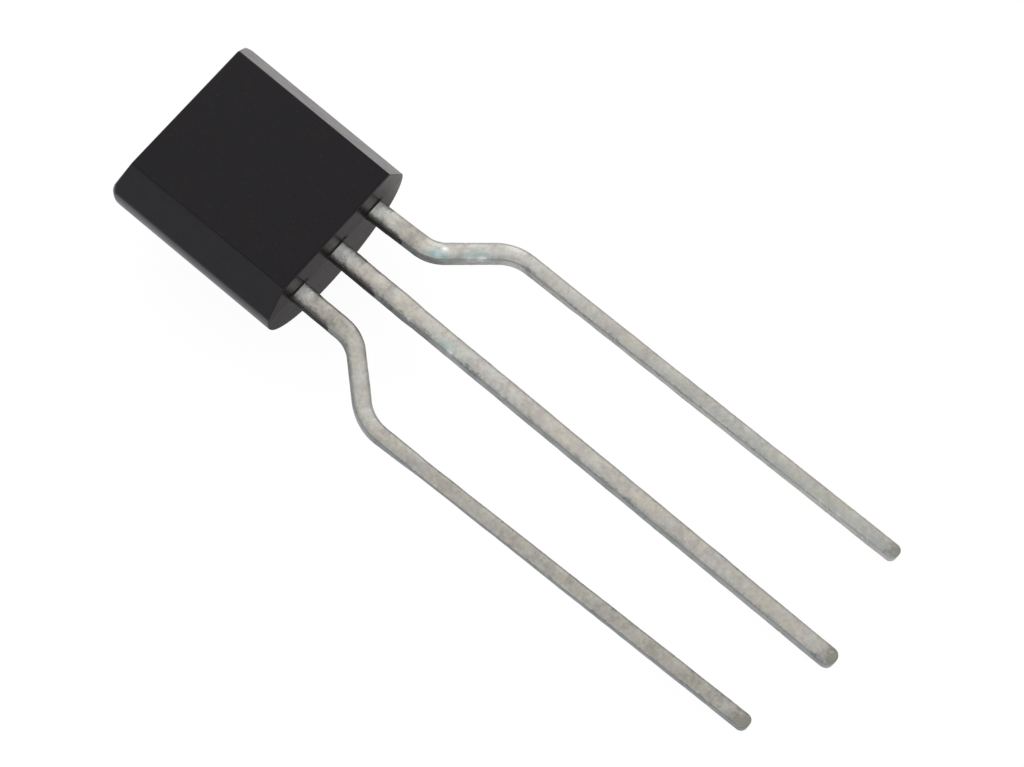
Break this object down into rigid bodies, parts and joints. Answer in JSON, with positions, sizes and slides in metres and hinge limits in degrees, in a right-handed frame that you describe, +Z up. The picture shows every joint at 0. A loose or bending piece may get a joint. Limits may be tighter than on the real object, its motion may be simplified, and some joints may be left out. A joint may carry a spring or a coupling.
{
  "type": "to-92 transistor",
  "caption": "Small leaded transistor with a black D-section moulded body, a flat face, a rounded back and tinned wire-like leads formed out to a wider pitch.",
  "frame": {"origin": "on the table, under the middle of the whole package, as it lies on its rounded back with the flat face up", "axes": "+X across the leads, from the emitter side to the base side; +Y from the lead tips towards the body; +Z up, out of the table"},
  "size_m": [0.0056, 0.0188, 0.0041],
  "materials": {
    "epoxy": "satin black moulded epoxy",
    "tinned_lead": "dull matte tin plating",
    "attach_solder": "matte solder",
    "silicon": "polished silicon",
    "bond_gold": "drawn gold wire"
  },
  "bodies": {
    "root": {"epoxy_body": "epoxy", "emitter_lead": "tinned_lead", "collector_lead": "tinned_lead", "base_lead": "tinned_lead", "die_attach": "attach_solder", "silicon_die": "silicon", "emitter_bond_wire": "bond_gold", "base_bond_wire": "bond_gold"}
  },
  "joints": []
}
